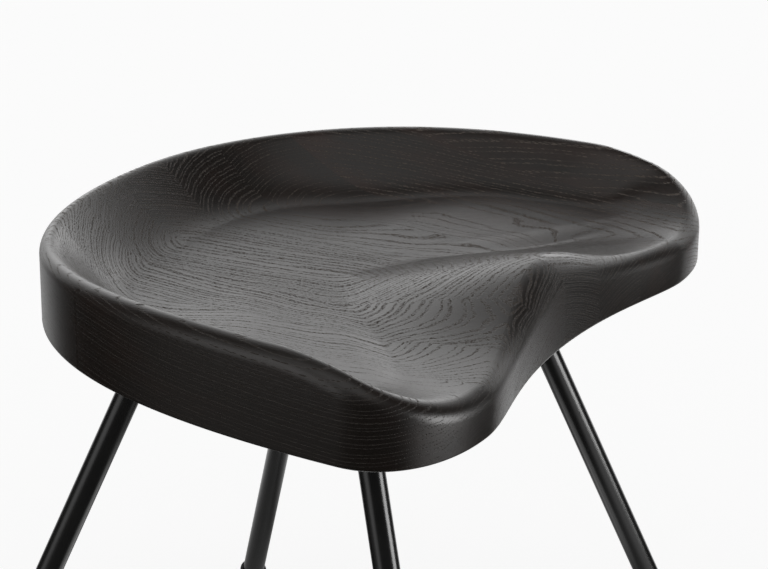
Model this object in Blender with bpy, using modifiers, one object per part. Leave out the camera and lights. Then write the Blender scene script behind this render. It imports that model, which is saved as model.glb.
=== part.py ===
"""Low stool: a sculpted saddle seat glued up from oak staves, on four splayed steel tube legs.

Sizes are in metres and angles in degrees. The floor is Z = 0, the front of the seat faces -Y and
its left side is -X. The origin is on the floor, under the middle of the seat.
"""

import math

import bmesh
import bpy
from mathutils import Matrix, Vector
from mathutils.geometry import interpolate_bezier

# Seat outline from above: notch, lobe tip, widest point and back, joined by curves with these handles
SEAT_HEIGHT = 0.390
SEAT_WIDTH = 0.480
SEAT_DEPTH = 0.394
NOTCH_DEPTH = 0.022
LOBE_SPACING = 0.308
WIDEST_FROM_FRONT = 0.061
NOTCH_HANDLE = 0.078
LOBE_INNER_HANDLE = 0.030
LOBE_OUTER_HANDLE = 0.058
HIP_FRONT_HANDLE = 0.032
HIP_BACK_HANDLE = 0.170
BACK_HANDLE = 0.196

# Seat form: heights above the flat underside, and how far the dish wall runs in from the crest
FLOOR_THICKNESS = 0.018
LOBE_HEIGHT = 0.029
HIP_HEIGHT = 0.0665
BACK_HEIGHT = 0.0565
LOBE_RUN = 0.170
HIP_RUN = 0.055
BACK_RUN = 0.069
DISH_CENTRE = 0.052

# Seat form: how much the dish's floor itself rises towards the crest, as a shallow bowl
LOBE_BOWL = 0.003
HIP_BOWL = 0.019
BACK_BOWL = 0.001

# Seat form: roundings of the wall's foot and crest, and of the rim's outer edge
LOBE_FOOT = 0.030
HIP_FOOT = 0.012
BACK_FOOT = 0.040
CREST_ROUND = 0.0075
LOBE_EDGE = 0.015
HIP_EDGE = 0.0092
BACK_EDGE = 0.007
UNDER_EDGE = 0.003
MOST_ROUND = 0.6

# Pommel: a soft ridge that rises from the dish's middle to the notch
POMMEL_RISE = 0.0315
POMMEL_SPREAD = 0.048
POMMEL_START = -0.004
POMMEL_LENGTH = 0.200
POMMEL_FOOT = 0.15
POMMEL_BROW = 0.45
POMMEL_EDGE = 0.022

# Directions from the front, around the seat, where the rim's and the dish's forms begin and end
LOBE_TO = 38.5
HIP_FROM = 70.5
HIP_TO = 75.5
BACK_FROM = 150.0
STEEP_FROM = 54.0
STEEP_TO = 72.0
SLOPE_FROM = 116.0

# Glue-up: boards run front to back, with one joint on the middle line
STAVE_WIDTH = 0.050
STAVE_LEAST = 0.020
GLUE_LINE = 0.0003

# Legs
LEG_DIAMETER = 0.018
LEG_WALL = 0.002
LEG_TOP_X = 0.1124
LEG_TOP_Y = 0.0789
SIDE_SPLAY = 15.4
FORE_SPLAY = 19.5

# Glides
GLIDE_WALL = 0.002
GLIDE_SOLE = 0.005
GLIDE_GRIP = 0.014
GLIDE_CHAMFER = 0.0008

# Mounting plate under the seat
PLATE_THICKNESS = 0.005
PLATE_MARGIN = 0.022
PLATE_CORNER = 0.016

# Screws and threaded inserts
CORNER_SCREW_FROM_LEG = 0.029
SIDE_SCREW_FROM_EDGE = 0.016
SIDE_SCREW_SPACING = 0.050
SCREW_DIAMETER = 0.006
SCREW_HEAD = 0.012
SCREW_HEAD_RIM = 0.0006
SCREW_SOCKET = 0.004
SCREW_SOCKET_DEPTH = 0.0022
INSERT_DIAMETER = 0.0094
INSERT_COVER = 0.0045

# Fit and fineness
CLEARANCE = 0.0003
OUTLINE_STEPS = (14, 13, 25)
WALL_RINGS = 10
FLOOR_RINGS = 5
EDGE_RINGS = 4
TUBE_SEGMENTS = 32
SMALL_SEGMENTS = 16
SMOOTH_ANGLE = 35.0

# Worked-out values
LEG_DROP = Vector((math.tan(math.radians(SIDE_SPLAY)), math.tan(math.radians(FORE_SPLAY)), -1.0))
LEG_TILT = LEG_DROP.angle(Vector((0.0, 0.0, -1.0)))
PLATE_TOP = SEAT_HEIGHT - CLEARANCE
PLATE_UNDERSIDE = PLATE_TOP - PLATE_THICKNESS
PLATE_HALF_X = LEG_TOP_X + PLATE_MARGIN
PLATE_HALF_Y = LEG_TOP_Y + PLATE_MARGIN
HOLE_DEPTH = FLOOR_THICKNESS - INSERT_COVER
INSERT_LENGTH = HOLE_DEPTH - 2 * CLEARANCE
TUBE_RADIUS = LEG_DIAMETER / 2
CUP_RADIUS = TUBE_RADIUS + CLEARANCE
CUP_FLOOR = (GLIDE_SOLE + CUP_RADIUS * math.sin(LEG_TILT)) / math.cos(LEG_TILT)
TUBE_END = CUP_FLOOR + CLEARANCE
GLIDE_TOP = TUBE_END + GLIDE_GRIP

CORNERS = {
    "front_left": (-1, -1),
    "front_right": (1, -1),
    "back_left": (-1, 1),
    "back_right": (1, 1),
}


def clear_scene():
    for obj in list(bpy.data.objects):
        bpy.data.objects.remove(obj)


def new_collection(name, parent):
    collection = bpy.data.collections.new(name)
    parent.children.link(collection)
    return collection


def material(name, colour, roughness, metallic):
    """A plain Principled material."""
    mat = bpy.data.materials.new(name)
    mat.use_nodes = True
    shader = mat.node_tree.nodes["Principled BSDF"]
    shader.inputs["Base Color"].default_value = (*colour, 1.0)
    shader.inputs["Roughness"].default_value = roughness
    shader.inputs["Metallic"].default_value = metallic
    return mat


def add_object(name, mesh, collection, mat=None):
    obj = bpy.data.objects.new(name, mesh)
    collection.objects.link(obj)
    if mat:
        mesh.materials.clear()
        mesh.materials.append(mat)
        mesh.shade_smooth()
        mesh.set_sharp_from_angle(angle=math.radians(SMOOTH_ANGLE))
    return obj


def add_cutter(name, mesh, collection):
    obj = add_object(name, mesh, collection)
    obj.hide_render = True
    obj.display_type = "WIRE"
    return obj


def box_mesh(name, low, high):
    """A box between two corners."""
    bm = bmesh.new()
    size = [b - a for a, b in zip(low, high)]
    middle = [(a + b) / 2 for a, b in zip(low, high)]
    bmesh.ops.create_cube(bm, matrix=Matrix.LocRotScale(middle, None, size))
    mesh = bpy.data.meshes.new(name)
    bm.to_mesh(mesh)
    bm.free()
    return mesh


def profile_mesh(name, profile, closed):
    """A profile of (radius, height) points that a Screw modifier turns round Z."""
    mesh = bpy.data.meshes.new(name)
    edges = [(i, i + 1) for i in range(len(profile) - 1)]
    if closed:
        edges.append((len(profile) - 1, 0))
    mesh.from_pydata([(radius, 0.0, height) for radius, height in profile], edges, [])
    return mesh


def turn(obj, segments):
    screw = obj.modifiers.new("Turn", "SCREW")
    screw.steps = segments
    screw.render_steps = segments
    screw.use_merge_vertices = True
    screw.merge_threshold = 0.00001
    screw.use_smooth_shade = True
    return obj


def cut(obj, cutters, operation="DIFFERENCE"):
    """Adds a Boolean with one object, or with all the objects of a collection."""
    boolean = obj.modifiers.new("Cut", "BOOLEAN")
    boolean.operation = operation
    boolean.solver = "EXACT"
    if isinstance(cutters, bpy.types.Collection):
        boolean.operand_type = "COLLECTION"
        boolean.collection = cutters
    else:
        boolean.object = cutters


# Seat form

def half_outline():
    """Points of the right half of the seat's outline, from the notch round to the back."""
    front = -SEAT_DEPTH / 2
    back = SEAT_DEPTH / 2
    widest = front + WIDEST_FROM_FRONT
    lobe = LOBE_SPACING / 2
    side = SEAT_WIDTH / 2
    notch = front + NOTCH_DEPTH
    curves = (
        ((0, notch), (NOTCH_HANDLE, notch), (lobe - LOBE_INNER_HANDLE, front), (lobe, front)),
        ((lobe, front), (lobe + LOBE_OUTER_HANDLE, front), (side, widest - HIP_FRONT_HANDLE), (side, widest)),
        ((side, widest), (side, widest + HIP_BACK_HANDLE), (BACK_HANDLE, back), (0, back)),
    )
    points = [Vector(curves[0][0])]
    for curve, steps in zip(curves, OUTLINE_STEPS):
        points += interpolate_bezier(*[Vector(p) for p in curve], steps + 1)[1:]
    return points


def outline():
    """The whole outline, counter-clockwise from above, with the outward normal at each point."""
    right = half_outline()
    left = [Vector((-p.x, p.y)) for p in reversed(right[1:-1])]
    points = right + left
    count = len(points)
    normals = []
    for i in range(count):
        along = (points[(i + 1) % count] - points[i - 1]).normalized()
        normals.append(Vector((along.y, -along.x)))
    return points, normals


def eased(angle, stations):
    """A value that eases from station to station, each an (angle, value) pair."""
    for (a, value_a), (b, value_b) in zip(stations, stations[1:]):
        if angle <= b:
            part = (angle - a) / (b - a)
            return value_a + (value_b - value_a) * (1 - math.cos(math.pi * part)) / 2
    return stations[-1][1]


def around(angles, lobe, hip, back):
    """Stations of a size that differs at the lobes, the hips and the back."""
    lobe_to, hip_from, hip_to, back_from = angles
    return ((0.0, lobe), (lobe_to, lobe), (hip_from, hip), (hip_to, hip), (back_from, back))


RIM_ANGLES = (LOBE_TO, HIP_FROM, HIP_TO, BACK_FROM)
DISH_ANGLES = (LOBE_TO, STEEP_FROM, STEEP_TO, SLOPE_FROM)
CREST_HEIGHTS = around(RIM_ANGLES, LOBE_HEIGHT, HIP_HEIGHT, BACK_HEIGHT)
RIM_EDGES = around(RIM_ANGLES, LOBE_EDGE, HIP_EDGE, BACK_EDGE)
DISH_RUNS = around(DISH_ANGLES, LOBE_RUN, HIP_RUN, BACK_RUN)
DISH_BOWLS = around(DISH_ANGLES, LOBE_BOWL, HIP_BOWL, BACK_BOWL)
DISH_FEET = around(RIM_ANGLES, LOBE_FOOT, HIP_FOOT, BACK_FOOT)


def ramp(part, foot, crest):
    """Rises from 0 to 1: a straight slope with a rounded foot and crest, as shares of the run."""
    part = min(max(part, 0.0), 1.0)
    slope = 1 / (1 - (foot + crest) / 2)
    if part < foot:
        return slope * part * part / (2 * foot)
    if part > 1 - crest:
        return 1 - slope * (1 - part) ** 2 / (2 * crest)
    return slope * (part - foot / 2)


def bell(x):
    """The pommel's cross-section: 1 on the middle line, falling away to the scoops."""
    return math.exp(-0.5 * (x / POMMEL_SPREAD) ** 2)


def pommel(place):
    """Height that the pommel's ridge adds at a place on the seat."""
    along = ramp((POMMEL_START - place.y) / POMMEL_LENGTH, POMMEL_FOOT, POMMEL_BROW)
    return POMMEL_RISE * along * bell(place.x)


def section(point, normal):
    """One section of the seat, from the dish's centre out over the rim and down to the underside."""
    angle = math.degrees(math.atan2(abs(point.x), -point.y))
    bowl = eased(angle, DISH_BOWLS)
    wall = eased(angle, CREST_HEIGHTS) - FLOOR_THICKNESS - bowl
    run = eased(angle, DISH_RUNS)
    edge = eased(angle, RIM_EDGES)
    if point.y < 0:
        edge += (POMMEL_EDGE - edge) * bell(point.x)
    crest = point - normal * edge
    centre = Vector((0.0, DISH_CENTRE))
    share = run / (crest - centre).length
    foot = min(eased(angle, DISH_FEET) / run, MOST_ROUND)
    brow = min(CREST_ROUND / run, MOST_ROUND)
    outs = [(1 - share) * k / FLOOR_RINGS for k in range(1, FLOOR_RINGS)]
    outs += [1 - share * (1 + math.cos(math.pi * k / WALL_RINGS)) / 2 for k in range(WALL_RINGS + 1)]
    places = []
    for out in outs:
        place = centre.lerp(crest, out)
        climb = wall * ramp(1 - (1 - out) / share, foot, brow)
        places.append((place, FLOOR_THICKNESS + bowl * out * out + climb + pommel(place)))
    top = places[-1][1]
    for k in range(1, EDGE_RINGS + 1):
        lean = math.pi / 2 * k / EDGE_RINGS
        places.append((crest + normal * edge * math.sin(lean), top - edge * (1 - math.cos(lean))))
    for k in range(EDGE_RINGS):
        lean = math.pi / 2 * k / (EDGE_RINGS - 1)
        inset = UNDER_EDGE * (1 - math.cos(lean))
        places.append((point - normal * inset, UNDER_EDGE * (1 - math.sin(lean))))
    return [Vector((p.x, p.y, SEAT_HEIGHT + z)) for p, z in places]


def seat_blank_mesh():
    """The whole sculpted seat as one closed loft through its radial sections."""
    bm = bmesh.new()
    columns = [[bm.verts.new(p) for p in section(*pair)] for pair in zip(*outline())]
    middle = pommel(Vector((0.0, DISH_CENTRE)))
    top = bm.verts.new((0, DISH_CENTRE, SEAT_HEIGHT + FLOOR_THICKNESS + middle))
    bottom = bm.verts.new((0, DISH_CENTRE, SEAT_HEIGHT))
    for left, right in zip(columns, columns[1:] + columns[:1]):
        bm.faces.new((top, left[0], right[0]))
        bm.faces.new((bottom, right[-1], left[-1]))
        for k in range(len(left) - 1):
            bm.faces.new((left[k], left[k + 1], right[k + 1], right[k]))
    bmesh.ops.recalc_face_normals(bm, faces=bm.faces)
    mesh = bpy.data.meshes.new("seat_blank")
    bm.to_mesh(mesh)
    bm.free()
    return mesh


def stave_limits():
    """The glue-lines' places across the seat, as pairs of a stave's left and right faces."""
    reach = SEAT_WIDTH / 2 - STAVE_LEAST
    count = math.floor(reach / STAVE_WIDTH)
    joints = [STAVE_WIDTH * k for k in range(-count, count + 1)]
    outside = SEAT_WIDTH
    return list(zip([-outside] + joints, joints + [outside]))


def make_staves(parts, cutters, holes, mat):
    blank = seat_blank_mesh()
    for number, (left, right) in enumerate(stave_limits(), start=1):
        low = (left + GLUE_LINE / 2, -SEAT_DEPTH, SEAT_HEIGHT / 2)
        high = (right - GLUE_LINE / 2, SEAT_DEPTH, SEAT_HEIGHT * 2)
        board = add_cutter(f"stave_board_{number}", box_mesh(f"stave_board_{number}", low, high), cutters)
        stave = add_object(f"seat_stave_{number}", blank.copy(), parts, mat)
        cut(stave, board, "INTERSECT")
        cut(stave, holes)


# Fasteners

def screw_places():
    """Where the screws go, seen from above: one beside each leg and two along each side."""
    corner_x = LEG_TOP_X - CORNER_SCREW_FROM_LEG
    side_x = PLATE_HALF_X - SIDE_SCREW_FROM_EDGE
    quarter = ((corner_x, LEG_TOP_Y), (side_x, SIDE_SCREW_SPACING / 2))
    return [(x * sx, y * sy) for x, y in quarter for sx, sy in CORNERS.values()]


def make_fasteners(parts, seat_holes, plate_holes, screw_mat, insert_mat):
    shank = SCREW_DIAMETER / 2
    head = SCREW_HEAD / 2
    rim = PLATE_UNDERSIDE + SCREW_HEAD_RIM
    neck = rim + head - shank
    tip = SEAT_HEIGHT + INSERT_LENGTH
    socket = SCREW_SOCKET / 2
    screw_profile = (
        (0, tip),
        (shank, tip),
        (shank, neck),
        (head, rim),
        (head, PLATE_UNDERSIDE),
        (socket, PLATE_UNDERSIDE),
        (socket, PLATE_UNDERSIDE + SCREW_SOCKET_DEPTH),
        (0, PLATE_UNDERSIDE + SCREW_SOCKET_DEPTH),
    )
    plate_hole_profile = (
        (0, SEAT_HEIGHT),
        (shank + CLEARANCE, SEAT_HEIGHT),
        (shank + CLEARANCE, neck),
        (head + CLEARANCE, rim),
        (head + CLEARANCE, PLATE_UNDERSIDE - PLATE_THICKNESS),
        (0, PLATE_UNDERSIDE - PLATE_THICKNESS),
    )
    insert_low = SEAT_HEIGHT + CLEARANCE
    insert_high = insert_low + INSERT_LENGTH
    insert = INSERT_DIAMETER / 2
    bore = shank + CLEARANCE
    insert_profile = ((insert, insert_high), (insert, insert_low), (bore, insert_low), (bore, insert_high))
    hole = insert + CLEARANCE
    hole_low = SEAT_HEIGHT - HOLE_DEPTH
    hole_high = SEAT_HEIGHT + HOLE_DEPTH
    seat_hole_profile = ((0, hole_high), (hole, hole_high), (hole, hole_low), (0, hole_low))
    screw_mesh = profile_mesh("plate_screw", screw_profile, False)
    insert_mesh = profile_mesh("threaded_insert", insert_profile, True)
    plate_hole_mesh = profile_mesh("plate_hole", plate_hole_profile, False)
    seat_hole_mesh = profile_mesh("seat_hole", seat_hole_profile, False)
    for number, (x, y) in enumerate(screw_places(), start=1):
        pieces = (
            turn(add_object(f"plate_screw_{number}", screw_mesh, parts, screw_mat), SMALL_SEGMENTS),
            turn(add_object(f"threaded_insert_{number}", insert_mesh, parts, insert_mat), SMALL_SEGMENTS),
            turn(add_cutter(f"plate_hole_{number}", plate_hole_mesh, plate_holes), SMALL_SEGMENTS),
            turn(add_cutter(f"seat_hole_{number}", seat_hole_mesh, seat_holes), SMALL_SEGMENTS),
        )
        for piece in pieces:
            piece.location = (x, y, 0.0)


def make_plate(parts, holes, mat):
    low = (-PLATE_HALF_X, -PLATE_HALF_Y, PLATE_UNDERSIDE)
    high = (PLATE_HALF_X, PLATE_HALF_Y, PLATE_TOP)
    mesh = box_mesh("mounting_plate", low, high)
    bm = bmesh.new()
    bm.from_mesh(mesh)
    upright = [e for e in bm.edges if abs(e.verts[0].co.z - e.verts[1].co.z) > PLATE_THICKNESS / 2]
    bmesh.ops.bevel(bm, geom=upright, offset=PLATE_CORNER, segments=6, profile=0.5, affect="EDGES")
    bm.to_mesh(mesh)
    bm.free()
    cut(add_object("mounting_plate", mesh, parts, mat), holes)


# Legs and glides

def leg_frame(sign_x, sign_y):
    """Local axes of a leg: its origin on the floor, its Z up along the tube."""
    drop = Vector((LEG_DROP.x * sign_x, LEG_DROP.y * sign_y, LEG_DROP.z))
    foot = Vector((LEG_TOP_X * sign_x, LEG_TOP_Y * sign_y, SEAT_HEIGHT)) + drop * SEAT_HEIGHT
    turned = Vector((0.0, 0.0, 1.0)).rotation_difference(-drop)
    return Matrix.LocRotScale(foot, turned, None)


def make_legs(parts, cutters, leg_mat, glide_mat):
    past_top = SEAT_HEIGHT / math.cos(LEG_TILT) + LEG_DIAMETER
    inner = TUBE_RADIUS - LEG_WALL
    tube_profile = ((TUBE_RADIUS, past_top), (TUBE_RADIUS, TUBE_END), (inner, TUBE_END), (inner, past_top))
    outer = CUP_RADIUS + GLIDE_WALL
    below = -outer * math.tan(LEG_TILT) - GLIDE_SOLE
    glide_profile = (
        (0, CUP_FLOOR),
        (CUP_RADIUS, CUP_FLOOR),
        (CUP_RADIUS, GLIDE_TOP),
        (outer - GLIDE_CHAMFER, GLIDE_TOP),
        (outer, GLIDE_TOP - GLIDE_CHAMFER),
        (outer, below),
        (0, below),
    )
    tube_mesh = profile_mesh("leg_tube", tube_profile, True)
    glide_mesh = profile_mesh("glide", glide_profile, False)
    reach = SEAT_WIDTH + SEAT_HEIGHT
    leg_top = PLATE_UNDERSIDE - CLEARANCE
    above = box_mesh("above_legs", (-reach, -reach, leg_top), (reach, reach, leg_top + reach))
    ground = box_mesh("ground", (-reach, -reach, -reach), (reach, reach, 0.0))
    above_legs = add_cutter("above_legs", above, cutters)
    below_floor = add_cutter("ground", ground, cutters)
    for corner, signs in CORNERS.items():
        leg = turn(add_object(f"leg_{corner}", tube_mesh, parts, leg_mat), TUBE_SEGMENTS)
        glide = turn(add_object(f"glide_{corner}", glide_mesh, parts, glide_mat), TUBE_SEGMENTS)
        leg.matrix_world = leg_frame(*signs)
        glide.matrix_world = leg_frame(*signs)
        cut(leg, above_legs)
        cut(glide, below_floor)


def main():
    clear_scene()
    scene_root = bpy.context.scene.collection
    parts = new_collection("wooden_stool", scene_root)
    cutters = new_collection("cutters", scene_root)
    seat_holes = new_collection("seat_holes", cutters)
    plate_holes = new_collection("plate_holes", cutters)
    oak = material("stained_oak", (0.035, 0.031, 0.029), 0.42, 0.0)
    black_steel = material("black_steel", (0.012, 0.012, 0.012), 0.28, 0.3)
    glide_plastic = material("glide_plastic", (0.015, 0.015, 0.015), 0.5, 0.0)
    screw_steel = material("screw_steel", (0.16, 0.16, 0.16), 0.35, 1.0)
    insert_brass = material("insert_brass", (0.55, 0.42, 0.2), 0.35, 1.0)
    make_fasteners(parts, seat_holes, plate_holes, screw_steel, insert_brass)
    make_plate(parts, plate_holes, black_steel)
    make_legs(parts, cutters, black_steel, glide_plastic)
    make_staves(parts, cutters, seat_holes, oak)


main()
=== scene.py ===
# %% [markdown]
# # A low stool with a sculpted oak seat
#
# The stool is a saddle seat, glued up from oak staves and carved, on four black steel tube legs with foot
# glides. A steel plate and eight screws under the seat hold the two together. The CAD model already has
# every piece at its real size and place, so this lesson loads it as a fixed frame, models finer pieces
# over it, and gives each surface its finish.

# %% Load the frame
import math

import bpy
from mathutils import Matrix, Vector
from mathutils.geometry import interpolate_bezier


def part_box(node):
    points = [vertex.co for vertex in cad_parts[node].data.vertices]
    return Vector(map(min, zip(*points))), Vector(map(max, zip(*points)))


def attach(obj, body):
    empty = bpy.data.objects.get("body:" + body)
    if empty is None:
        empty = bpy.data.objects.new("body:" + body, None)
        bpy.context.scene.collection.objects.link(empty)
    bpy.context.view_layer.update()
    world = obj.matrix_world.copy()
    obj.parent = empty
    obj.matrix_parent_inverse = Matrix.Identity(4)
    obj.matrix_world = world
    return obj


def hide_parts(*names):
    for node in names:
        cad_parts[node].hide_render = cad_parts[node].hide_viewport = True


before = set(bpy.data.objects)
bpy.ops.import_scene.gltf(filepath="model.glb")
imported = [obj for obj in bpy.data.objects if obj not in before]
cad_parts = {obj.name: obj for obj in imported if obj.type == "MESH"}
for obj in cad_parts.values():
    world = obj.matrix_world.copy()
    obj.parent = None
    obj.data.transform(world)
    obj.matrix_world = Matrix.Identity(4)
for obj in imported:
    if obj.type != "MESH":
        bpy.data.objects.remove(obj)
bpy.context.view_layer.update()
scene = bpy.context.scene

# %% [markdown]
# ## Camera
#
# The photograph looks down on the seat from its front left. A long lens keeps the perspective flat. The
# camera could be set by eye, but a place, an aim and a small roll that were worked out from the seat's
# outline and the legs put every edge where the photograph has it.

# %% Camera
CAMERA_PLACE = Vector((-1.4148, -0.8198, 1.0433))
CAMERA_AIM = Vector((-0.0144, -0.0437, 0.4148))
CAMERA_ROLL = 0.622
CAMERA_LENS = 116.72

camera_data = bpy.data.cameras.new("photo_camera")
camera_data.lens = CAMERA_LENS
camera = bpy.data.objects.new("photo_camera", camera_data)
scene.collection.objects.link(camera)
looking = (CAMERA_AIM - CAMERA_PLACE).to_track_quat("-Z", "Y").to_matrix().to_4x4()
roll = Matrix.Rotation(math.radians(CAMERA_ROLL), 4, "Z")
camera.matrix_world = Matrix.Translation(CAMERA_PLACE) @ looking @ roll
scene.camera = camera
print("camera to seat:", round((CAMERA_AIM - CAMERA_PLACE).length, 3), "m")

# %% [markdown]
# ## Shader nodes
#
# A finish in Blender is a net of nodes. They could be placed and linked one by one, but four small helpers
# make that shorter to read: one adds any node with its inputs filled, two reckon with numbers and with
# vectors, and one turns a value from one range into another.

# %% Node helpers
def shader_node(tree, kind, inputs=(), **settings):
    """Adds a node. Inputs are (socket, value) pairs, and a value may be another node's output."""
    made = tree.nodes.new(kind)
    for key, value in settings.items():
        setattr(made, key, value)
    for socket, value in inputs:
        if isinstance(value, bpy.types.NodeSocket):
            tree.links.new(value, made.inputs[socket])
        else:
            made.inputs[socket].default_value = value
    return made


def number(tree, operation, *values):
    """The result of a Math node."""
    return shader_node(tree, "ShaderNodeMath", enumerate(values), operation=operation).outputs[0]


def vector(tree, operation, *values):
    """The result of a Vector Math node: a number for a length or a dot product, or else a vector."""
    outputs = shader_node(tree, "ShaderNodeVectorMath", enumerate(values), operation=operation).outputs
    return outputs["Value" if operation in ("LENGTH", "DOT_PRODUCT") else "Vector"]


def map_range(tree, value, start, end, low, high, interpolation_type="LINEAR"):
    """Turns a value between start and end into one between low and high."""
    inputs = (("Value", value), ("From Min", start), ("From Max", end), ("To Min", low), ("To Max", high))
    return shader_node(tree, "ShaderNodeMapRange", inputs, interpolation_type=interpolation_type).outputs[0]


print("node helpers:", [helper.__name__ for helper in (shader_node, number, vector, map_range)])

# %% [markdown]
# ## Room light
#
# A black satin surface has little colour of its own: it is drawn by what it mirrors. The world lights every
# surface plainly and evenly, and is white wherever the background shows. One softbox, low in front, takes no
# part in that even light and only adds gloss: streaks on the legs and a shine on the front edges. Several
# lamps could do the same, but each would leave a spot of its own in the satin.

# %% World and softbox
BACKGROUND_WHITE = 1.0
ROOM_LIGHT = 0.45
SOFTBOX_PLACE = Vector((0.38, -1.70, 0.46))
SOFTBOX_SIZE = (0.84, 0.84)
SOFTBOX_POWER = 19.0
STOOL_MIDDLE = Vector((0.0, 0.0, 0.4))


def shown_rays(tree):
    """The kinds of ray, and 1 for those that show the background: the camera's, and gloss and glass."""
    rays = shader_node(tree, "ShaderNodeLightPath").outputs
    seen = number(tree, "MAXIMUM", rays["Is Camera Ray"], rays["Is Glossy Ray"])
    return rays, number(tree, "MAXIMUM", seen, rays["Is Transmission Ray"])


scene.view_settings.view_transform = "Standard"
world = bpy.data.worlds.new("white_room")
world.use_nodes = True
scene.world = world
sky = world.node_tree
shown = shown_rays(sky)[1]
background = sky.nodes["Background"]
background.inputs["Color"].default_value = (1.0, 1.0, 1.0, 1.0)
sky.links.new(map_range(sky, shown, 0.0, 1.0, ROOM_LIGHT, BACKGROUND_WHITE), background.inputs["Strength"])

bpy.ops.object.select_all(action="DESELECT")
bpy.ops.object.light_add(type="AREA", location=SOFTBOX_PLACE)
softbox = bpy.context.object
softbox.name = "front_softbox"
softbox.data.shape = "RECTANGLE"
softbox.data.size, softbox.data.size_y = SOFTBOX_SIZE
softbox.data.energy = SOFTBOX_POWER
softbox.visible_diffuse = False
softbox.rotation_euler = (STOOL_MIDDLE - SOFTBOX_PLACE).to_track_quat("-Z", "Y").to_euler()
print("softbox radiance:", round(SOFTBOX_POWER / math.pi / SOFTBOX_SIZE[0] / SOFTBOX_SIZE[1], 2))

# %% [markdown]
# ## Reflection tent
#
# Round the stool hangs a tent that only reflections can see. It is nearly dark, with soft bright patches in
# a few directions, and these draw the dish, the walls and the legs. Real panels could stand there instead,
# but a painted tent is easier to adjust. Operators act on all that is selected, so two helpers select one
# object alone and name what an operator has just added.

# %% Reflection tent
TENT_RADIUS = 3.0
TENT_SEGMENTS = 64
TENT_RINGS = 32
DARK_LEVEL = 0.01
ALL_AXES = (1.0, 1.0, 1.0)
# Bright patches: azimuth, elevation, inner and outer spread in degrees, and level
TENT_PATCHES = (
    (0, 13, 8, 30, 1.9),
    (30, 12, 8, 30, 1.3),
    (60, 12, 8, 30, 1.45),
    (40, 40, 10, 34, 0.65),
    (150, 10, 8, 30, 1.2),
    (160, 42, 10, 34, 0.6),
    (216, 68, 10, 34, 0.8),
)


def pick(obj):
    """Makes an object the only selected one, and active."""
    bpy.ops.object.select_all(action="DESELECT")
    obj.select_set(True)
    bpy.context.view_layer.objects.active = obj
    return obj


def added(name):
    """Names the object that an operator has just added."""
    obj = bpy.context.object
    obj.name = name
    obj.data.name = name
    return pick(obj)


def new_finish(name):
    """A new material with its node tree and its Principled shader."""
    finish = bpy.data.materials.new(name)
    finish.use_nodes = True
    tree = finish.node_tree
    return finish, tree, tree.nodes["Principled BSDF"]


def direction(tree, axes):
    """The direction from the object's origin to the shaded point, along the axes that are 1."""
    coords = shader_node(tree, "ShaderNodeTexCoord").outputs["Object"]
    return vector(tree, "NORMALIZE", vector(tree, "MULTIPLY", coords, axes))


def patches_of_light(tree, axes, patches):
    """Adds up soft round patches, each bright towards its middle and gone past its outer spread."""
    towards = direction(tree, axes)
    total = DARK_LEVEL
    for azimuth, elevation, inner, outer, level in patches:
        turn = math.radians(azimuth)
        lift = math.radians(elevation)
        middle = (math.cos(lift) * math.cos(turn), math.cos(lift) * math.sin(turn), math.sin(lift))
        nearness = vector(tree, "DOT_PRODUCT", towards, middle)
        edge = math.cos(math.radians(outer))
        core = math.cos(math.radians(inner))
        patch = map_range(tree, nearness, edge, core, 0.0, level, "SMOOTHSTEP")
        total = number(tree, "ADD", patch, total)
    return total


bpy.ops.object.select_all(action="DESELECT")
bpy.ops.mesh.primitive_uv_sphere_add(segments=TENT_SEGMENTS, ring_count=TENT_RINGS, radius=TENT_RADIUS,
                                     location=STOOL_MIDDLE)
tent = added("reflection_tent")
tent_finish, tree, shader = new_finish("tent_cloth")
tree.nodes.remove(shader)
cloth = patches_of_light(tree, ALL_AXES, TENT_PATCHES)
glow = shader_node(tree, "ShaderNodeEmission", [("Strength", cloth)])
tree.links.new(glow.outputs[0], tree.nodes["Material Output"].inputs["Surface"])
tent.data.materials.append(tent_finish)
tent.visible_camera = False
tent.visible_diffuse = False
tent.visible_shadow = False
tent.visible_transmission = False
print("tent radius:", TENT_RADIUS, "patches:", len(TENT_PATCHES))

# %% [markdown]
# ## Floor
#
# The floor is plain and pale, and keeps the stool's shadow. It could be a white sheet under strong lamps,
# but then the lamps would also brighten the stool. Here it glows a little by itself where the camera sees
# it. In reflections it has patches like the tent's, dimmer under the seat, with one bright spot below the
# seat's middle that shows on the legs' inner sides. From below it is clear, so that the underside shows.

# %% Floor
FLOOR_RADIUS = 7.0
FLOOR_SIDES = 96
FLOOR_DROP = 0.0002
FLOOR_COLOUR = (0.5, 0.5, 0.5, 1.0)
FLOOR_GLOW = 0.74
BLACK = (0.0, 0.0, 0.0, 1.0)
SEAT_SHADE = (0.20, 0.60)
UNDER_SEAT = 0.25
SPOT_REACH = (0.09, 0.18)
SPOT_LEVEL = 1.0
LEVEL_AXES = (1.0, 1.0, 0.0)
FLOOR_PATCHES = (
    (0, 0, 6, 30, 1.3),
    (30, 0, 3, 22, 0.5),
    (60, 0, 6, 30, 0.85),
    (150, 0, 6, 30, 0.15),
    (270, 0, 6, 30, 0.97),
)


def settle(obj):
    """Moves an object's place, turn and scale into its mesh."""
    pick(obj)
    bpy.ops.object.transform_apply(location=True, rotation=True, scale=True)


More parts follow.
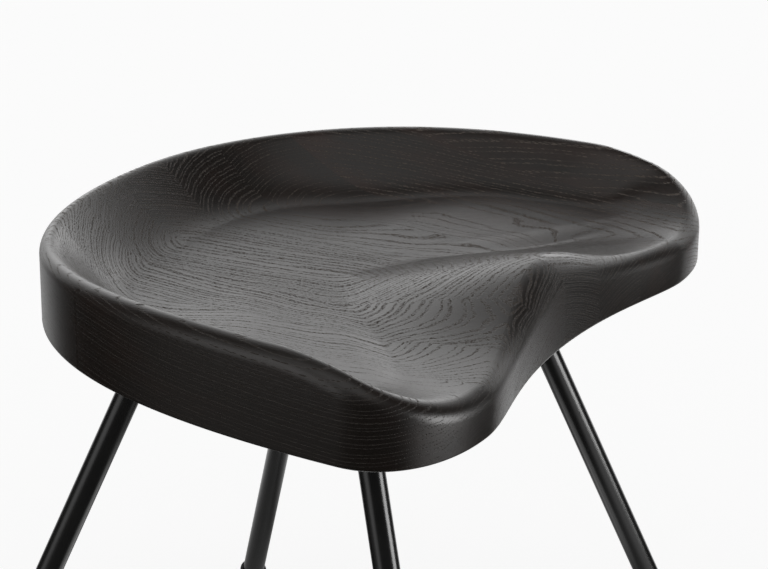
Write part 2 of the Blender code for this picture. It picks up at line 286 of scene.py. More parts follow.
bpy.ops.object.select_all(action="DESELECT")
bpy.ops.mesh.primitive_circle_add(vertices=FLOOR_SIDES, radius=FLOOR_RADIUS, fill_type="NGON",
                                  location=(0, 0, -FLOOR_DROP))
floor = added("floor")
settle(floor)
floor_finish, tree, shader = new_finish("pale_floor")
tree.nodes.remove(shader)
rays, shown = shown_rays(tree)
glossy = rays["Is Glossy Ray"]
coords = shader_node(tree, "ShaderNodeTexCoord").outputs["Object"]
reach = vector(tree, "LENGTH", coords)
open_floor = map_range(tree, reach, *SEAT_SHADE, UNDER_SEAT, 1.0, "SMOOTHSTEP")
spot = map_range(tree, reach, *SPOT_REACH, SPOT_LEVEL, 0.0, "SMOOTHSTEP")
patches = patches_of_light(tree, LEVEL_AXES, FLOOR_PATCHES)
mirrored = number(tree, "MULTIPLY", number(tree, "MULTIPLY_ADD", patches, open_floor, spot), glossy)
direct = number(tree, "SUBTRACT", shown, glossy)
strength = number(tree, "MULTIPLY_ADD", direct, FLOOR_GLOW, mirrored)
glow = shader_node(tree, "ShaderNodeEmission", [("Strength", strength)]).outputs[0]
matt = shader_node(tree, "ShaderNodeBsdfDiffuse", [("Color", FLOOR_COLOUR)]).outputs[0]
unlit = shader_node(tree, "ShaderNodeBsdfDiffuse", [("Color", BLACK)]).outputs[0]
plain = shader_node(tree, "ShaderNodeMixShader", enumerate((glossy, matt, unlit))).outputs[0]
above = shader_node(tree, "ShaderNodeAddShader", enumerate((plain, glow))).outputs[0]
below = shader_node(tree, "ShaderNodeBsdfTransparent").outputs[0]
behind = shader_node(tree, "ShaderNodeNewGeometry").outputs["Backfacing"]
whole = shader_node(tree, "ShaderNodeMixShader", enumerate((behind, above, below))).outputs[0]
tree.links.new(whole, tree.nodes["Material Output"].inputs["Surface"])
floor.data.materials.append(floor_finish)
print("floor radius:", FLOOR_RADIUS, "patches:", len(FLOOR_PATCHES))

# %% [markdown]
# ## Outline of the seat
#
# Seen from above, the seat is like a kidney: a shallow notch in front between two lobes, the widest place
# at the hips, and one long curve round the back. It could be drawn freely as a curve, but six handles on
# three Bezier curves, mirrored, repeat the CAD model's outline, only with more points.

# %% Outline of the seat from above
SEAT_HEIGHT = 0.390
SEAT_WIDTH = 0.480
SEAT_DEPTH = 0.394
NOTCH_DEPTH = 0.022
LOBE_SPACING = 0.308
WIDEST_FROM_FRONT = 0.061
NOTCH_HANDLE = 0.078
LOBE_INNER_HANDLE = 0.030
LOBE_OUTER_HANDLE = 0.058
HIP_FRONT_HANDLE = 0.032
HIP_BACK_HANDLE = 0.170
BACK_HANDLE = 0.196
OUTLINE_STEPS = (44, 40, 76)


def half_outline():
    """Points of the right half of the outline, from the notch round to the back."""
    front = -SEAT_DEPTH / 2
    back = SEAT_DEPTH / 2
    widest = front + WIDEST_FROM_FRONT
    lobe = LOBE_SPACING / 2
    side = SEAT_WIDTH / 2
    notch = front + NOTCH_DEPTH
    curves = (
        ((0, notch), (NOTCH_HANDLE, notch), (lobe - LOBE_INNER_HANDLE, front), (lobe, front)),
        ((lobe, front), (lobe + LOBE_OUTER_HANDLE, front), (side, widest - HIP_FRONT_HANDLE), (side, widest)),
        ((side, widest), (side, widest + HIP_BACK_HANDLE), (BACK_HANDLE, back), (0, back)),
    )
    points = [Vector(curves[0][0])]
    for curve, steps in zip(curves, OUTLINE_STEPS):
        points += interpolate_bezier(*[Vector(p) for p in curve], steps + 1)[1:]
    return points


right_half = half_outline()
outline = right_half + [Vector((-p.x, p.y)) for p in reversed(right_half[1:-1])]
outward = []
for place, point in enumerate(outline):
    along = (outline[(place + 1) % len(outline)] - outline[place - 1]).normalized()
    outward.append(Vector((along.y, -along.x)))
print("outline points:", len(outline))

# %% [markdown]
# ## Pommel
#
# The pommel is a soft ridge on the middle line. It climbs from the dish to the notch and parts the two thigh
# scoops. A separate lump could be joined on, but its foot would show as a crease. A height that is added to
# the dish, with a bell curve across and a rounded ramp along, has no crease anywhere.

# %% Pommel
POMMEL_RISE = 0.0315
POMMEL_SPREAD = 0.048
POMMEL_START = -0.004
POMMEL_LENGTH = 0.200
POMMEL_FOOT = 0.15
POMMEL_BROW = 0.45


def ramp(part, foot, crest):
    """Rises from 0 to 1: a straight slope with a rounded foot and crest, as shares of the run."""
    part = min(max(part, 0.0), 1.0)
    slope = 1 / (1 - (foot + crest) / 2)
    if part < foot:
        return slope * part * part / (2 * foot)
    if part > 1 - crest:
        return 1 - slope * (1 - part) ** 2 / (2 * crest)
    return slope * (part - foot / 2)


def bell(x):
    """The pommel's cross-section: 1 on the middle line, falling away to the scoops."""
    return math.exp(-0.5 * (x / POMMEL_SPREAD) ** 2)


def pommel(place):
    """Height that the pommel's ridge adds at a place on the seat."""
    along = ramp((POMMEL_START - place.y) / POMMEL_LENGTH, POMMEL_FOOT, POMMEL_BROW)
    return POMMEL_RISE * along * bell(place.x)


print("pommel at the notch:", round(pommel(outline[0]), 4), "m")

# %% [markdown]
# ## Sections of the seat
#
# A section through the seat has a shallow floor, a wall that climbs to the rim, and a rounded edge. The
# wall is long and low at the lobes, and steep at the hips and the back. The form could be sculpted, but a
# few sizes that ease from one direction to the next keep it clean and easy to change. They follow the CAD
# model's, and some are set a few millimetres closer to how light falls on the real seat.

# %% Sections of the seat
FLOOR_THICKNESS = 0.018
LOBE_HEIGHT = 0.0325
HIP_HEIGHT = 0.0665
BACK_HEIGHT = 0.0565
CREST_ROUND = 0.0075
UNDER_EDGE = 0.003
POMMEL_EDGE = 0.022
MOST_ROUND = 0.6
DISH_CENTRE = Vector((0.0, 0.052))
# Sizes that change around the seat, as (angle from the front, size) pairs: lobes, hips and back
CREST_HEIGHTS = (
    (0, LOBE_HEIGHT), (38.5, LOBE_HEIGHT), (70.5, HIP_HEIGHT), (75.5, HIP_HEIGHT), (150, BACK_HEIGHT),
)
RIM_EDGES = ((0, 0.010), (30, 0.010), (48, 0.0125), (75.5, 0.0112), (150, 0.007))
DISH_RUNS = ((0, 0.170), (34, 0.170), (50, 0.055), (72, 0.055), (116, 0.064))
DISH_BOWLS = ((0, 0.002), (34, 0.002), (52, 0.019), (72, 0.019), (116, 0.001))
DISH_FEET = ((0, 0.030), (38.5, 0.030), (70.5, 0.018), (75.5, 0.018), (150, 0.040))
FLOOR_RINGS = 12
WALL_RINGS = 28
EDGE_RINGS = 8
UNDER_RINGS = 4


def eased(angle, stations):
    """A size that eases from one direction's value to the next."""
    for (a, value_a), (b, value_b) in zip(stations, stations[1:]):
        if angle <= b:
            part = (angle - a) / (b - a)
            return value_a + (value_b - value_a) * (1 - math.cos(math.pi * part)) / 2
    return stations[-1][1]


def section(point, normal):
    """One section, from the dish's centre out over the rim, down the side and back under to the middle."""
    angle = math.degrees(math.atan2(abs(point.x), -point.y))
    bowl = eased(angle, DISH_BOWLS)
    wall = eased(angle, CREST_HEIGHTS) - FLOOR_THICKNESS - bowl
    run = eased(angle, DISH_RUNS)
    edge = eased(angle, RIM_EDGES)
    if point.y < 0:
        edge += (POMMEL_EDGE - edge) * bell(point.x)
    crest = point - normal * edge
    share = run / (crest - DISH_CENTRE).length
    foot = min(eased(angle, DISH_FEET) / run, MOST_ROUND)
    brow = min(CREST_ROUND / run, MOST_ROUND)
    outs = [(1 - share) * k / FLOOR_RINGS for k in range(FLOOR_RINGS)]
    outs += [1 - share * (1 + math.cos(math.pi * k / WALL_RINGS)) / 2 for k in range(WALL_RINGS + 1)]
    places = []
    for out in outs:
        place = DISH_CENTRE.lerp(crest, out)
        climb = wall * ramp(1 - (1 - out) / share, foot, brow)
        places.append((place, FLOOR_THICKNESS + bowl * out * out + climb + pommel(place)))
    top = places[-1][1]
    for k in range(1, EDGE_RINGS + 1):
        lean = math.pi / 2 * k / EDGE_RINGS
        places.append((crest + normal * edge * math.sin(lean), top - edge * (1 - math.cos(lean))))
    for k in range(UNDER_RINGS + 1):
        lean = math.pi / 2 * k / UNDER_RINGS
        under = point - normal * UNDER_EDGE * (1 - math.cos(lean))
        places.append((under, UNDER_EDGE * (1 - math.sin(lean))))
    places.append((DISH_CENTRE, 0.0))
    return [Vector((p.x, p.y, SEAT_HEIGHT + z)) for p, z in places]


sections = [section(*pair) for pair in zip(outline, outward)]
print("sections:", len(sections), "rings in each:", len(sections[0]))

# %% [markdown]
# ## Seat blank
#
# The carver starts from a thick slab. Here a grid, which is like a sheet of cloth, is wrapped round the
# whole seat: its columns become the sections and its rows the rings. Merging its doubles sews up the seam
# and the two middle points. A slab could be sculpted instead, but the grid keeps every section exact.

# %% Wrap a grid round the sections
MERGE_DISTANCE = 0.00002

columns = len(sections)
rings = len(sections[0])
bpy.ops.object.select_all(action="DESELECT")
bpy.ops.mesh.primitive_grid_add(x_subdivisions=columns, y_subdivisions=rings - 1, size=1.0)
blank = added("seat_blank")
row = columns + 1
for place, vertex in enumerate(blank.data.vertices):
    vertex.co = sections[(place % row) % columns][place // row]
bpy.ops.object.mode_set(mode="EDIT")
bpy.ops.mesh.select_all(action="SELECT")
bpy.ops.mesh.remove_doubles(threshold=MERGE_DISTANCE)
bpy.ops.mesh.normals_make_consistent(inside=False)
bpy.ops.object.mode_set(mode="OBJECT")
print("seat blank:", len(blank.data.vertices), "vertices,", len(blank.data.polygons), "faces")

# %% [markdown]
# ## Drill
#
# Under the seat, each screw has a threaded insert in a blind hole. The holes could be drilled one by one,
# but one drill with all eight bits is quicker: a bit is modelled once, copied to the inserts' places, and
# the copies are joined.

# %% Drill with a bit for each insert
SCREWS = 8
HOLE_RADIUS = 0.0050
HOLE_DEPTH = 0.0135
HOLE_SIDES = 48


def copied(obj, name):
    """A copy of a pattern, with its own mesh."""
    copy = obj.copy()
    copy.data = obj.data.copy()
    copy.name = name
    copy.data.name = name
    scene.collection.objects.link(copy)
    return copy


def middle_of(name):
    """The middle of a CAD node's box."""
    low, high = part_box(name)
    return (low + high) / 2


bpy.ops.object.select_all(action="DESELECT")
bpy.ops.mesh.primitive_cylinder_add(vertices=HOLE_SIDES, radius=HOLE_RADIUS, depth=2 * HOLE_DEPTH,
                                    location=(0, 0, SEAT_HEIGHT))
bit = added("bit_pattern")
bits = []
for count in range(1, SCREWS + 1):
    place = middle_of(f"threaded_insert_{count}")
    copy = copied(bit, f"bit_{count}")
    copy.location = (place.x, place.y, SEAT_HEIGHT)
    bits.append(copy)
bpy.data.objects.remove(bit)
drill = pick(bits[0])
for copy in bits:
    copy.select_set(True)
bpy.ops.object.join()
settle(drill)
print("drill bits:", len(bits))

# %% [markdown]
# ## Staves
#
# The real blank is ten boards, glued edge to edge, with the grain from front to back. Ten strips could be
# modelled one beside the other, but it is surer to cut the finished form back into its boards along the CAD
# model's glue-lines, with a hair between them. Each stave can then have its own grain.

# %% Cut the blank into staves
GLUE_LINE = 0.00002
CUT_TOLERANCE = 0.000001
SEAT_SMOOTH = 40.0


def slice_off(obj, place, normal):
    """Cuts away what lies beyond a plane, on the side its normal points to, and closes the cut."""
    pick(obj)
    bpy.ops.object.mode_set(mode="EDIT")
    bpy.ops.mesh.select_all(action="SELECT")
    bpy.ops.mesh.bisect(plane_co=place, plane_no=normal, use_fill=True, clear_outer=True,
                        threshold=CUT_TOLERANCE)
    bpy.ops.object.mode_set(mode="OBJECT")


def apply_modifier(obj, kind, **settings):
    """Adds a modifier with its settings, and applies it."""
    pick(obj)
    modifier = obj.modifiers.new(kind.title(), kind)
    for key, value in settings.items():
        setattr(modifier, key, value)
    bpy.ops.object.modifier_apply(modifier=modifier.name)


def cut_out(obj, cutter):
    """Takes a cutter's form out of an object."""
    apply_modifier(obj, "BOOLEAN", operation="DIFFERENCE", solver="EXACT", object=cutter)


def smooth(obj, angle):
    """Shades an object smooth, apart from edges sharper than an angle in degrees."""
    pick(obj)
    bpy.ops.object.shade_smooth_by_angle(angle=math.radians(angle))


stave_names = [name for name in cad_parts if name.startswith("seat_stave")]
stave_names.sort(key=lambda name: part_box(name)[0].x)
joints = [(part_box(a)[1].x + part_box(b)[0].x) / 2 for a, b in zip(stave_names, stave_names[1:])]
staves = []
for place, name in enumerate(stave_names):
    stave = copied(blank, "oak_" + name.removeprefix("seat_"))
    if place > 0:
        slice_off(stave, (joints[place - 1] + GLUE_LINE / 2, 0, 0), (-1, 0, 0))
    if place < len(joints):
        slice_off(stave, (joints[place] - GLUE_LINE / 2, 0, 0), (1, 0, 0))
    cut_out(stave, drill)
    smooth(stave, SEAT_SMOOTH)
    staves.append(stave)
bpy.data.objects.remove(drill)
bpy.data.objects.remove(blank)
print("staves:", len(staves), "faces:", sum(len(s.data.polygons) for s in staves))

# %% [markdown]
# ## Growth rings
#
# Oak is ring-porous: each year's growth starts with a row of open pores and ends with dense wood. Cut into a
# hollow, the rings show as contour lines. They could be drawn on the surface, but a solid texture runs on
# correctly over every edge: rings about a pith that lies along the board, bent a little by noise, and some
# years wider than others.

# %% Growth rings
WANDER = 0.0030
WANDER_SIZE = (9.0, 4.5, 9.0)
RIPPLE = 0.0006
RIPPLE_SIZE = (130.0, 30.0, 130.0)
RIPPLE_SEED = 5.0
BEND_DETAIL = 2.0
BEND_ROUGHNESS = 0.45
WEATHER_RATE = 0.6
WEATHER_DETAIL = 1.0
WEATHER_SHARE = 1.2
PORE_ROW = 0.0004
PORE_FADE = 0.0008


def noise_shift(tree, coords, size, seed, amount):
    """A soft random offset, up to about an amount in metres each way."""
    spread = shader_node(tree, "ShaderNodeMapping", [
        ("Vector", coords), ("Location", (seed, 2 * seed, 3 * seed)), ("Scale", size),
    ])
    noise = shader_node(tree, "ShaderNodeTexNoise", [
        ("Vector", spread.outputs[0]), ("Scale", 1.0), ("Detail", BEND_DETAIL), ("Roughness", BEND_ROUGHNESS),
    ])
    centred = vector(tree, "SUBTRACT", noise.outputs["Color"], (0.5, 0.5, 0.5))
    return vector(tree, "MULTIPLY", centred, (2 * amount, 2 * amount, 2 * amount))


def bent_grain(tree, seed):
    """Places in the board, bent in wide waves and in fine ripples."""
    coords = shader_node(tree, "ShaderNodeTexCoord").outputs["Object"]
    wander = noise_shift(tree, coords, WANDER_SIZE, seed, WANDER)
    ripple = noise_shift(tree, coords, RIPPLE_SIZE, seed + RIPPLE_SEED, RIPPLE)
    return vector(tree, "ADD", vector(tree, "ADD", coords, wander), ripple)


def early_wood(tree, bent, pith, lean, ring_width, row):
    """1 in the row of open pores at the start of each ring, and 0 in the dense wood after it."""
    about = shader_node(tree, "ShaderNodeMapping", [
        ("Vector", bent), ("Location", pith), ("Rotation", (lean, 0.0, 0.0)),
    ], vector_type="TEXTURE")
    radius = vector(tree, "LENGTH", vector(tree, "MULTIPLY", about.outputs[0], (1.0, 0.0, 1.0)))
    years = number(tree, "DIVIDE", radius, ring_width)
    weather = shader_node(tree, "ShaderNodeTexNoise", [
        ("W", years), ("Scale", WEATHER_RATE), ("Detail", WEATHER_DETAIL),
    ], noise_dimensions="1D")
    uneven = number(tree, "MULTIPLY_ADD", weather.outputs["Fac"], WEATHER_SHARE, years)
    season = number(tree, "FRACT", uneven)
    full = row * PORE_ROW / ring_width
    gone = row * PORE_FADE / ring_width
    return map_range(tree, season, full, gone, 1.0, 0.0, "SMOOTHSTEP")


print("pore rows:", PORE_ROW, "to", PORE_FADE, "m")

# %% [markdown]
# ## Stained oak
#
# The pores are open vessels, long along the grain, so the contour lines are made of fine dashes. Black stain
# leaves them paler, rougher and with hardly any gloss, while the dense wood between stays dark and satin,
# with a touch of brown. Noise alone could give streaks, but cells stretched along the board, kept mostly to
# the early wood, give real dashes with real spaces.

# %% Stained oak
PORE_SPACING = 0.0009
PORE_CORE = 0.32
PORE_RIM = 0.52
STRAY_PORES = 0.06
DENSE_COLOUR = (0.0165, 0.0122, 0.0096, 1.0)
OPEN_COLOUR = (0.0340, 0.0275, 0.0230, 1.0)
PORE_COLOUR = (0.0950, 0.0800, 0.0680, 1.0)
WARM_COLOUR = (0.0420, 0.0190, 0.0125, 1.0)
TONE_SIZE = (40.0, 6.0, 40.0)
TONE_DETAIL = 3.0
TONE_RANGE = (0.45, 0.75)
DENSE_ROUGHNESS = 0.33
OPEN_ROUGHNESS = 0.09
PORE_ROUGHNESS = 0.45
DENSE_GLOSS = 0.5
PORE_GLOSS = 0.08
PORE_DEPTH = 0.0004
PORE_BUMP = 0.5


def vessels(tree, bent, pore_length):
    """1 inside a pore and 0 outside: a pore in the middle of each of many long cells."""
    cell = (1 / PORE_SPACING, 1 / pore_length, 1 / PORE_SPACING)
    along = shader_node(tree, "ShaderNodeMapping", [("Vector", bent), ("Scale", cell)])
    cells = shader_node(tree, "ShaderNodeTexVoronoi", [("Vector", along.outputs[0]), ("Scale", 1.0)])
    return map_range(tree, cells.outputs["Distance"], PORE_CORE, PORE_RIM, 1.0, 0.0)


def warm_patches(tree, bent, seed, warmth):
    """How far the stain lets the brown of the oak through."""
    place = shader_node(tree, "ShaderNodeMapping", [
        ("Vector", bent), ("Location", (seed, seed, seed)), ("Scale", TONE_SIZE),
    ])
    tone = shader_node(tree, "ShaderNodeTexNoise", [
        ("Vector", place.outputs[0]), ("Scale", 1.0), ("Detail", TONE_DETAIL),
    ])
    return map_range(tree, tone.outputs["Fac"], *TONE_RANGE, 0.0, warmth)


def oak(name, seed, pith, lean, ring_width, row, pore_length, paleness, warmth):
    """Black-stained oak for one stave. The pith is where the tree's middle lay, in metres."""
    finish, tree, shader = new_finish(name)
    bent = bent_grain(tree, seed)
    early = early_wood(tree, bent, pith, lean, ring_width, row)
    share = number(tree, "MULTIPLY_ADD", early, 1 - STRAY_PORES, STRAY_PORES)
    pore = number(tree, "MULTIPLY", vessels(tree, bent, pore_length), share)
    colour = DENSE_COLOUR
    mixes = (
        (early, OPEN_COLOUR),
        (warm_patches(tree, bent, seed, warmth), WARM_COLOUR),
        (pore, tuple(paleness * c for c in PORE_COLOUR)),
    )
    for factor, other in mixes:
        inputs = (("Fac", factor), ("Color1", colour), ("Color2", other))
        colour = shader_node(tree, "ShaderNodeMixRGB", inputs).outputs[0]
    open_rough = number(tree, "MULTIPLY_ADD", early, OPEN_ROUGHNESS, DENSE_ROUGHNESS)
    rough = number(tree, "MULTIPLY_ADD", pore, PORE_ROUGHNESS, open_rough)
    gloss = map_range(tree, pore, 0.0, 1.0, DENSE_GLOSS, PORE_GLOSS)
    bump = shader_node(tree, "ShaderNodeBump", [
        ("Height", pore), ("Strength", PORE_BUMP), ("Distance", PORE_DEPTH),
    ], invert=True)
    tree.links.new(colour, shader.inputs["Base Color"])
    tree.links.new(rough, shader.inputs["Roughness"])
    tree.links.new(gloss, shader.inputs["Specular IOR Level"])
    tree.links.new(bump.outputs[0], shader.inputs["Normal"])
    return finish


print("pore spacing:", PORE_SPACING, "m")

# %% [markdown]
# ## Boards
#
# No two boards come from the same place in a tree. One finish could cover the whole seat, but then the
# glue-lines would vanish. So each stave has its own: how its rings slope, how far off its pith lay, how
# narrow its rings are, and how its pores took the stain.

# %% Give each stave its oak
GRAIN_LEAN = 0.03
SEED_STEP = 1.7
# Each stave: slope of its rings seen from the front in degrees, distance of its pith and width of its rings
# in metres, thickness of its pore rows as a share, length of its pores in metres, then how pale its pores
# are and how warm its tone
BOARDS = (
    (10, 0.16, 0.0028, 0.90, 0.0060, 0.55, 0.30),
    (15, 0.11, 0.0022, 0.40, 0.0026, 1.00, 0.25),
    (22, 0.12, 0.0016, 0.60, 0.0024, 1.00, 0.20),
    (25, 0.14, 0.0015, 1.05, 0.0022, 0.90, 0.15),
    (25, 0.16, 0.0015, 1.05, 0.0022, 0.90, 0.15),
    (-23, 0.15, 0.0016, 1.05, 0.0024, 1.00, 0.20),
    (24, 0.11, 0.0022, 1.00, 0.0030, 1.30, 0.25),
    (20, 0.10, 0.0018, 0.40, 0.0026, 1.40, 0.45),
    (-20, 0.11, 0.0026, 1.10, 0.0034, 1.60, 0.80),
    (12, 0.14, 0.0028, 1.20, 0.0046, 1.60, 0.70),
)


def dress(obj, finish, slot, *nodes):
    """Gives a finished piece its material and body, and hides the CAD nodes it stands for. The slot is not
    used.
    """
    obj.data.materials.clear()
    obj.data.materials.append(finish)
    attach(obj, "root")
    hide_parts(*nodes)


for place, (stave, name, board) in enumerate(zip(staves, stave_names, BOARDS)):
    slope, distance, *grain = board
    down = Vector((math.sin(math.radians(slope)), 0.0, -math.cos(math.radians(slope))))
    pith = Vector((middle_of(name).x, 0.0, SEAT_HEIGHT)) + down * distance
    lean = GRAIN_LEAN * (-1) ** place
    finish = oak(f"stained_oak_{place + 1}", SEED_STEP * place, pith, lean, *grain)
    dress(stave, finish, "stained_oak", name)
print("oak finishes:", len(BOARDS))

# %% [markdown]
# ## Black steel
#
# The legs and the plate are black-coated steel. The coat is nearly smooth, so it mirrors the room in sharp
# streaks, with only a faint unevenness that keeps it from looking like glass. One plain colour would do from
# afar, but soft patches in colour and gloss, and a fine grain, hold up close to. The same recipe with other
# values gives the plastic, the screws and the brass.

# %% Black steel
PATCH_SCALE = 60.0
PATCH_DETAIL = 3.0
GRAIN_DETAIL = 2.0
DENT_DEPTH = 0.0002
COAT = {
    "dark": (0.0180, 0.0180, 0.0180, 1.0), "pale": (0.0270, 0.0267, 0.0258, 1.0),
    "roughness": (0.18, 0.25), "grain": 700.0, "dents": 0.01,
}


def mottled(name, dark, pale, roughness, grain, dents, metallic=0.0):
    """A finish whose colour and gloss vary in soft patches, over a fine bumpy grain."""
    finish, tree, shader = new_finish(name)
    coords = shader_node(tree, "ShaderNodeTexCoord").outputs["Object"]
    patch = shader_node(tree, "ShaderNodeTexNoise", [
        ("Vector", coords), ("Scale", PATCH_SCALE), ("Detail", PATCH_DETAIL),
    ]).outputs["Fac"]
    colour = shader_node(tree, "ShaderNodeMixRGB", [("Fac", patch), ("Color1", dark), ("Color2", pale)])
    peel = shader_node(tree, "ShaderNodeTexNoise", [
        ("Vector", coords), ("Scale", grain), ("Detail", GRAIN_DETAIL),
    ]).outputs["Fac"]
    bump = shader_node(tree, "ShaderNodeBump", [
        ("Height", peel), ("Strength", dents), ("Distance", DENT_DEPTH),
    ])
    tree.links.new(colour.outputs[0], shader.inputs["Base Color"])
    tree.links.new(map_range(tree, patch, 0.0, 1.0, *roughness), shader.inputs["Roughness"])
    tree.links.new(bump.outputs[0], shader.inputs["Normal"])
    shader.inputs["Metallic"].default_value = metallic
    return finish


black_coat = mottled("black_coat", **COAT)
print("finish:", black_coat.name)

# %% [markdown]
# ## Legs
#
# Each leg is a straight round tube, splayed two ways and cut level where it is welded to the plate. A curve
# with a round bevel could make it, but it would have no inside. Here a cylinder without ends gets its wall
# from Solidify, and each copy is leaned over and sliced under the plate.

# %% Legs
LEG_RADIUS = 0.009
LEG_WALL = 0.002
LEG_SIDES = 96
LEG_TOP_X = 0.1124
LEG_TOP_Y = 0.0789
SIDE_SPLAY = 15.4
FORE_SPLAY = 19.5
GAP = 0.0003
GLIDE_SOLE = 0.005
ROUND_SMOOTH = 40.0
CORNERS = {"front_left": (-1, -1), "front_right": (1, -1), "back_left": (-1, 1), "back_right": (1, 1)}

splay = Vector((math.tan(math.radians(SIDE_SPLAY)), math.tan(math.radians(FORE_SPLAY)), -1.0))
tilt = splay.angle(Vector((0.0, 0.0, -1.0)))
plate_low, plate_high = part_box("mounting_plate")
cup_radius = LEG_RADIUS + GAP
cup_floor = (GLIDE_SOLE + cup_radius * math.sin(tilt)) / math.cos(tilt)
tube_end = cup_floor + GAP
tube_top = SEAT_HEIGHT / math.cos(tilt) + 2 * LEG_RADIUS


def leg_place(sign_x, sign_y):
    """A leg's own axes: the origin where its axis meets the floor, and Z up along the tube."""
    drop = Vector((splay.x * sign_x, splay.y * sign_y, splay.z))
    foot = Vector((LEG_TOP_X * sign_x, LEG_TOP_Y * sign_y, SEAT_HEIGHT)) + drop * SEAT_HEIGHT
    return Matrix.LocRotScale(foot, Vector((0.0, 0.0, 1.0)).rotation_difference(-drop), None)


bpy.ops.object.select_all(action="DESELECT")
bpy.ops.mesh.primitive_cylinder_add(vertices=LEG_SIDES, radius=LEG_RADIUS, depth=tube_top - tube_end,
                                    end_fill_type="NOTHING", location=(0, 0, (tube_top + tube_end) / 2))
tube = added("tube_pattern")
settle(tube)
apply_modifier(tube, "SOLIDIFY", thickness=LEG_WALL, offset=-1.0, use_even_offset=True)
for corner, signs in CORNERS.items():
    leg = copied(tube, f"tube_{corner}")
    leg.matrix_world = leg_place(*signs)
    settle(leg)
    slice_off(leg, (0, 0, plate_low.z - GAP), (0, 0, 1))
    smooth(leg, ROUND_SMOOTH)
    dress(leg, black_coat, "black_steel", f"leg_{corner}")
bpy.data.objects.remove(tube)
print("legs:", list(CORNERS), "tilt:", round(math.degrees(tilt), 2))

# %% [markdown]
# ## Foot glides
#
# A moulded plastic cup closes the end of each tube and keeps the steel off the floor. It is a turned form, so
# a profile could be spun, but a circle that is extruded up the outside, in over the rim and down to the floor
# of the cup leaves no seam. Leaned like its leg and sliced level, it rests flat on the floor.

# %% Foot glides
GLIDE_WALL = 0.002
GLIDE_GRIP = 0.014
GLIDE_CHAMFER = 0.0008
GLIDE_SIDES = 64
PLASTIC = {
    "dark": (0.010, 0.010, 0.010, 1.0), "pale": (0.017, 0.0165, 0.016, 1.0),
    "roughness": (0.42, 0.58), "grain": 1800.0, "dents": 0.15,
}


def turned(name, sides, profile):
    """A turned solid: a filled circle, extruded through (radius, height) pairs."""
    radius, height = profile[0]
    bpy.ops.object.select_all(action="DESELECT")
    bpy.ops.mesh.primitive_circle_add(vertices=sides, radius=radius, fill_type="NGON",
                                      location=(0, 0, height))
    obj = added(name)
    settle(obj)
    bpy.ops.object.mode_set(mode="EDIT")
    bpy.ops.mesh.select_all(action="SELECT")
    for next_radius, next_height in profile[1:]:
        bpy.ops.mesh.extrude_region_move(TRANSFORM_OT_translate={"value": (0, 0, next_height - height)})
        grow = next_radius / radius
        bpy.ops.transform.resize(value=(grow, grow, 1.0), center_override=(0, 0, next_height))
        radius, height = next_radius, next_height
    bpy.ops.mesh.select_all(action="SELECT")
    bpy.ops.mesh.normals_make_consistent(inside=False)
    bpy.ops.object.mode_set(mode="OBJECT")
    return obj


glide_plastic = mottled("glide_plastic", **PLASTIC)
glide_radius = cup_radius + GLIDE_WALL
glide_top = tube_end + GLIDE_GRIP
glide_profile = (
    (glide_radius, -glide_radius * math.tan(tilt) - GLIDE_SOLE),
    (glide_radius, glide_top - GLIDE_CHAMFER),
    (glide_radius - GLIDE_CHAMFER / 4, glide_top - GLIDE_CHAMFER / 4),
    (glide_radius - GLIDE_CHAMFER, glide_top),
    (cup_radius, glide_top),
    (cup_radius, cup_floor),
)
cup = turned("cup_pattern", GLIDE_SIDES, glide_profile)
for corner, signs in CORNERS.items():
    glide = copied(cup, f"cup_{corner}")
    glide.matrix_world = leg_place(*signs)
    settle(glide)
    slice_off(glide, (0, 0, 0), (0, 0, -1))
    smooth(glide, ROUND_SMOOTH)
    dress(glide, glide_plastic, "glide_plastic", f"glide_{corner}")
bpy.data.objects.remove(cup)
print("glides:", list(CORNERS))

# %% [markdown]
# ## Mounting plate
#
# The tubes are welded to a steel plate that is screwed up against the seat. It is a cut sheet with rounded
# corners, a broken edge and countersunk holes. The holes could be left to the finish, but they show from
# below, so a box gets two bevels and is then drilled with a turned cutter.

# %% Mounting plate
PLATE_CORNER = 0.016
CORNER_SEGMENTS = 16
PLATE_EDGE = 0.0004
EDGE_SEGMENTS = 2
SHANK_RADIUS = 0.003
HEAD_RADIUS = 0.006
HEAD_RIM = 0.0006
TURNED_SIDES = 48
FLAT_SMOOTH = 30.0


def bevel_edges(obj, upright, width, segments):
    """Bevels a sheet's upright edges, or else the level ones round its two faces."""
    pick(obj)
    bpy.ops.object.mode_set(mode="EDIT")
    bpy.ops.mesh.select_mode(type="EDGE")
    bpy.ops.mesh.select_all(action="DESELECT")
    bpy.ops.object.mode_set(mode="OBJECT")
    for edge in obj.data.edges:
        a, b = [obj.data.vertices[index].co for index in edge.vertices]
        edge.select = (abs(a.z - b.z) > GAP) == upright
    bpy.ops.object.mode_set(mode="EDIT")
    bpy.ops.mesh.bevel(offset=width, segments=segments, affect="EDGES")
    bpy.ops.object.mode_set(mode="OBJECT")


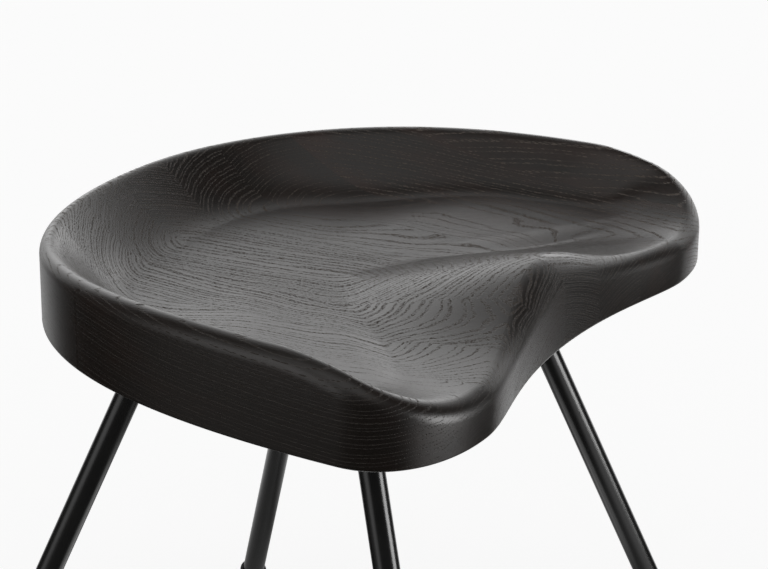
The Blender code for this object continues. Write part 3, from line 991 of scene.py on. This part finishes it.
head_rim = plate_low.z + HEAD_RIM
neck = head_rim + HEAD_RADIUS - SHANK_RADIUS
hole_profile = (
    (HEAD_RADIUS + GAP, plate_low.z - HEAD_RADIUS),
    (HEAD_RADIUS + GAP, head_rim),
    (SHANK_RADIUS + GAP, neck),
    (SHANK_RADIUS + GAP, plate_high.z + HEAD_RADIUS),
)
bpy.ops.object.select_all(action="DESELECT")
bpy.ops.mesh.primitive_cube_add(size=1.0, location=(plate_low + plate_high) / 2,
                                scale=plate_high - plate_low)
plate = added("steel_plate")
settle(plate)
bevel_edges(plate, True, PLATE_CORNER, CORNER_SEGMENTS)
bevel_edges(plate, False, PLATE_EDGE, EDGE_SEGMENTS)
countersink = turned("countersink_pattern", TURNED_SIDES, hole_profile)
for count in range(1, SCREWS + 1):
    place = middle_of(f"plate_screw_{count}")
    cutter = copied(countersink, f"countersink_{count}")
    cutter.location = (place.x, place.y, 0)
    settle(cutter)
    cut_out(plate, cutter)
    bpy.data.objects.remove(cutter)
bpy.data.objects.remove(countersink)
smooth(plate, FLAT_SMOOTH)
dress(plate, black_coat, "black_steel", "mounting_plate")
print("plate:", len(plate.data.polygons), "faces")

# %% [markdown]
# ## Screws
#
# Countersunk socket screws pass through the plate into the oak. Eight could be turned one by one, but they
# are all alike: one is turned, its hexagon socket is cut with a six-sided bar, and the others are copies.
# The thread is hidden in the inserts, so the shank stays plain.

# %% Screws
SOCKET_ACROSS = 0.004
SOCKET_DEPTH = 0.0022
SOCKET_SIDES = 6
EDGE_BREAK = 0.0002
SCREW_STEEL = {
    "dark": (0.085, 0.084, 0.083, 1.0), "pale": (0.150, 0.148, 0.145, 1.0),
    "roughness": (0.28, 0.42), "grain": 900.0, "dents": 0.10, "metallic": 1.0,
}

black_screw = mottled("black_screw", **SCREW_STEEL)
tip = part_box("plate_screw_1")[1].z
screw_profile = (
    (HEAD_RADIUS - EDGE_BREAK, plate_low.z),
    (HEAD_RADIUS, plate_low.z + EDGE_BREAK),
    (HEAD_RADIUS, head_rim),
    (SHANK_RADIUS, neck),
    (SHANK_RADIUS, tip - EDGE_BREAK),
    (SHANK_RADIUS - EDGE_BREAK, tip),
)
socket_radius = SOCKET_ACROSS / 2 / math.cos(math.pi / SOCKET_SIDES)
socket_profile = (
    (socket_radius, plate_low.z - SOCKET_DEPTH),
    (socket_radius, plate_low.z + SOCKET_DEPTH),
)
pattern = turned("screw_pattern", TURNED_SIDES, screw_profile)
hexagon = turned("hexagon_bar", SOCKET_SIDES, socket_profile)
cut_out(pattern, hexagon)
bpy.data.objects.remove(hexagon)
smooth(pattern, FLAT_SMOOTH)
for count in range(1, SCREWS + 1):
    place = middle_of(f"plate_screw_{count}")
    screw = copied(pattern, f"socket_screw_{count}")
    screw.location = (place.x, place.y, 0)
    settle(screw)
    dress(screw, black_screw, "screw_steel", f"plate_screw_{count}")
bpy.data.objects.remove(pattern)
print("screws:", SCREWS)

# %% [markdown]
# ## Threaded inserts
#
# Each screw turns in a brass insert. The inserts are buried in the seat, so nothing would be gained by
# modelling them again: the CAD model's own plain sleeves stay and only get a brass finish.

# %% Threaded inserts
BRASS = {
    "dark": (0.42, 0.29, 0.11, 1.0), "pale": (0.62, 0.46, 0.20, 1.0),
    "roughness": (0.26, 0.40), "grain": 900.0, "dents": 0.08, "metallic": 1.0,
}

brass = mottled("insert_brass", **BRASS)
for count in range(1, SCREWS + 1):
    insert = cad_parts[f"threaded_insert_{count}"]
    insert.data.materials.clear()
    insert.data.materials.append(brass)
print("inserts:", SCREWS)
